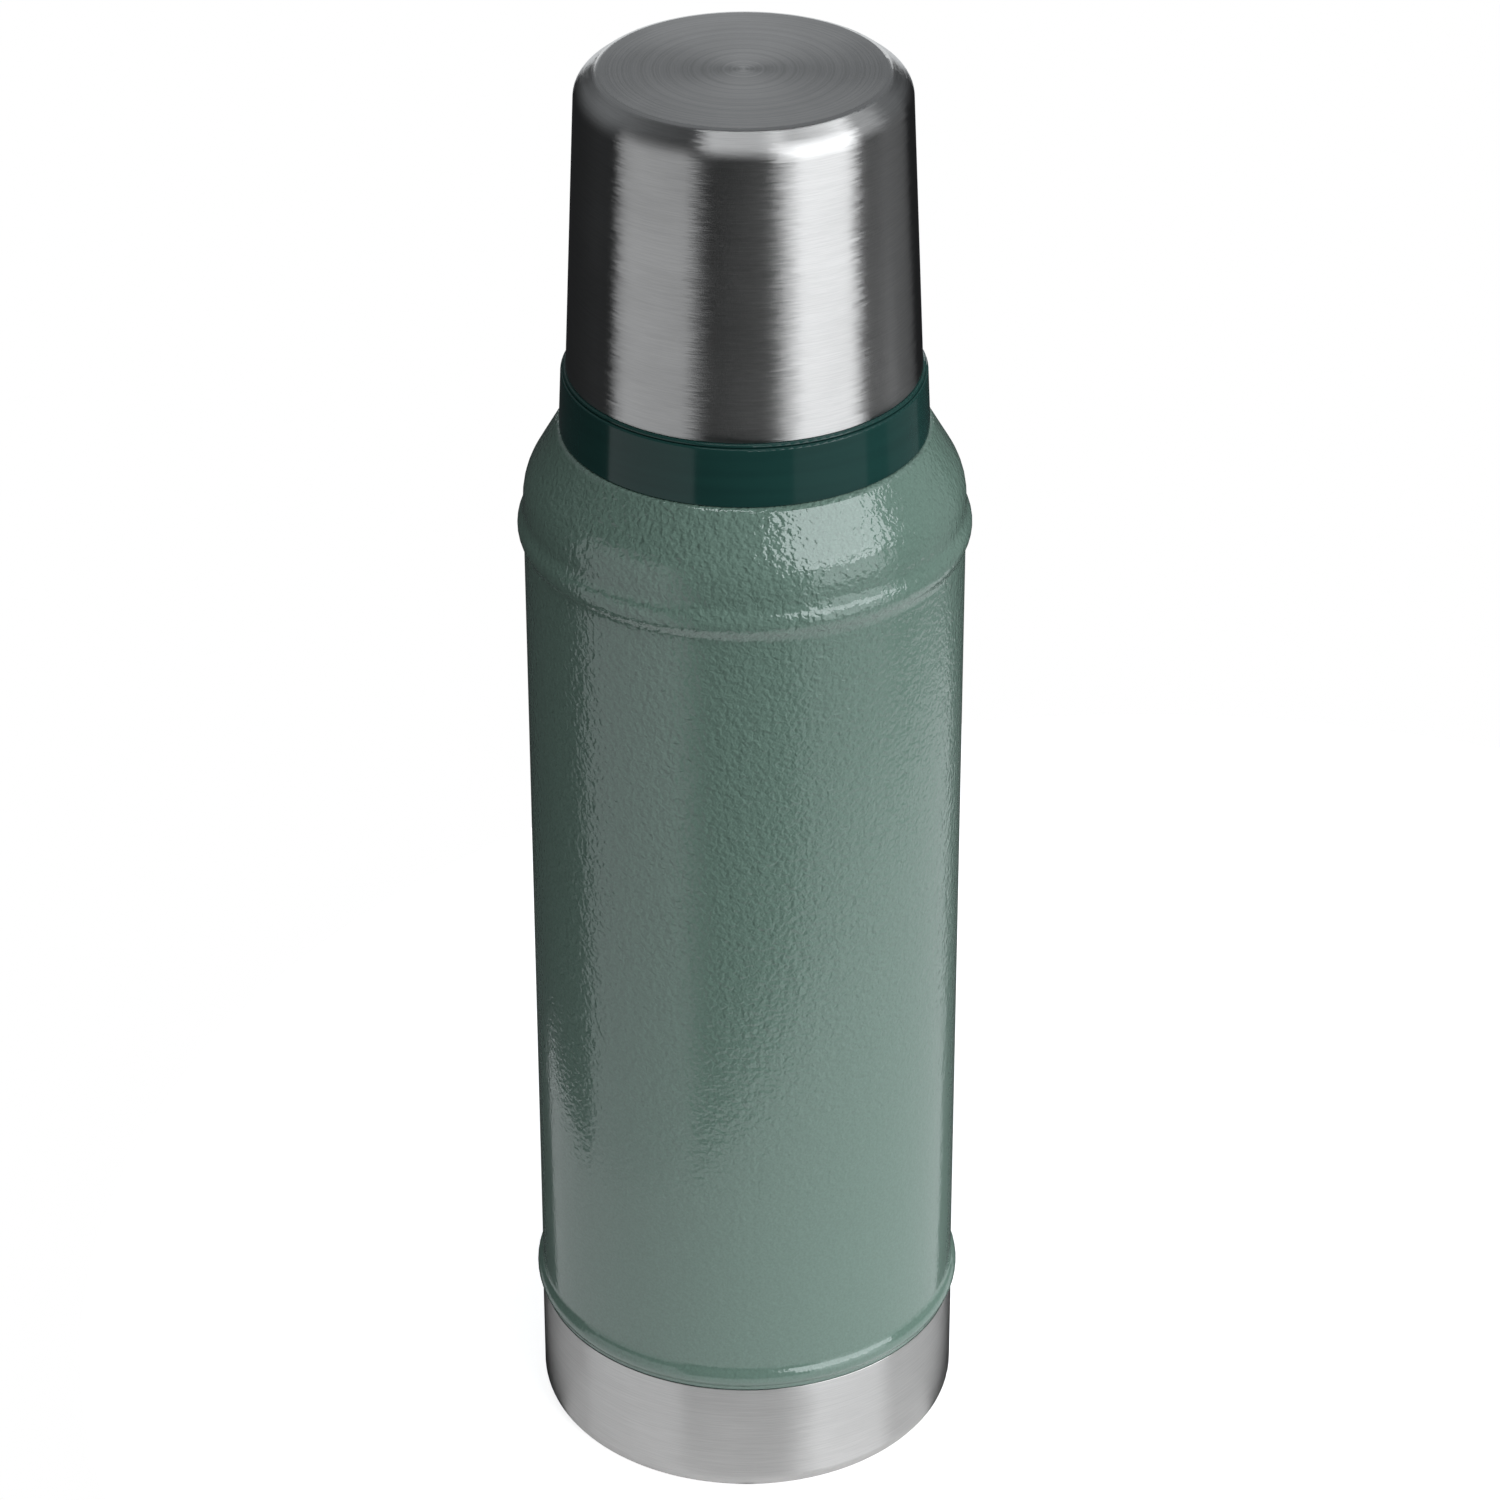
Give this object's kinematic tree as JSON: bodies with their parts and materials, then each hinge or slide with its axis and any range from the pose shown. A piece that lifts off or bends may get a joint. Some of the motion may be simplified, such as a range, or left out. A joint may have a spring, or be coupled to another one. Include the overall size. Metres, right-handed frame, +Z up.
{
  "type": "vacuum flask",
  "caption": "Tall round double-walled steel vacuum flask with a twist stopper and a screw-on drinking cup.",
  "frame": {"origin": "centre of the ring the flask stands on, at the lowest point", "axes": "+Z up along the flask's axis, from the base to the cup; +X and +Y are equivalent on this round object, and the flask thread's features start at +X"},
  "size_m": [0.0874, 0.0874, 0.2962],
  "materials": {
    "hammertone_paint": "glossy hammered texture",
    "brushed_steel": "circumferentially brushed",
    "vessel_steel": "electropolished satin",
    "seal_metal": "dull",
    "radiation_foil": "bright copper foil",
    "green_plastic": "glossy moulded",
    "stopper_plastic": "satin moulded",
    "grey_silicone": "soft matte",
    "foam": "cellular"
  },
  "bodies": {
    "flask": {"outer_shell": "hammertone_paint", "base_cup": "brushed_steel", "base_plate": "brushed_steel", "vacuum_seal": "seal_metal", "inner_vessel": "vessel_steel", "inner_bottom": "vessel_steel", "foil_wrap": "radiation_foil", "foil_disc": "radiation_foil", "getter_clip": "vessel_steel", "getter": "seal_metal", "collar": "green_plastic", "collar_gasket": "grey_silicone"},
    "cup_carrier": {"cup_insulation": "foam"},
    "cup": {"cup_shell": "brushed_steel", "cup_liner": "green_plastic"},
    "stopper_carrier": {"stopper_core": "foam"},
    "stopper": {"stopper_body": "stopper_plastic", "stopper_cap": "stopper_plastic", "stopper_seal": "grey_silicone", "head_gasket": "grey_silicone"}
  },
  "joints": [
    {"name": "cup_lift", "type": "slide", "parent": "flask", "child": "cup_carrier", "axis": [0, 0, 1], "range_m": [0, 0.05]},
    {"name": "cup_twist", "type": "hinge", "parent": "cup_carrier", "child": "cup", "pos_m": [0, 0, 0.236], "axis": [0, 0, 1], "range_deg": [0, 1800]},
    {"name": "stopper_lift", "type": "slide", "parent": "flask", "child": "stopper_carrier", "axis": [0, 0, 1], "range_m": [0, 0.027]},
    {"name": "stopper_twist", "type": "hinge", "parent": "stopper_carrier", "child": "stopper", "pos_m": [0, 0, 0.246], "axis": [0, 0, 1], "range_deg": [0, 1620]}
  ],
  "couplings": [
    {"joint": "cup_lift", "follows": "cup_twist", "m_per_rad": 0.0015915},
    {"joint": "stopper_lift", "follows": "stopper_twist", "m_per_rad": 0.00095493}
  ]
}
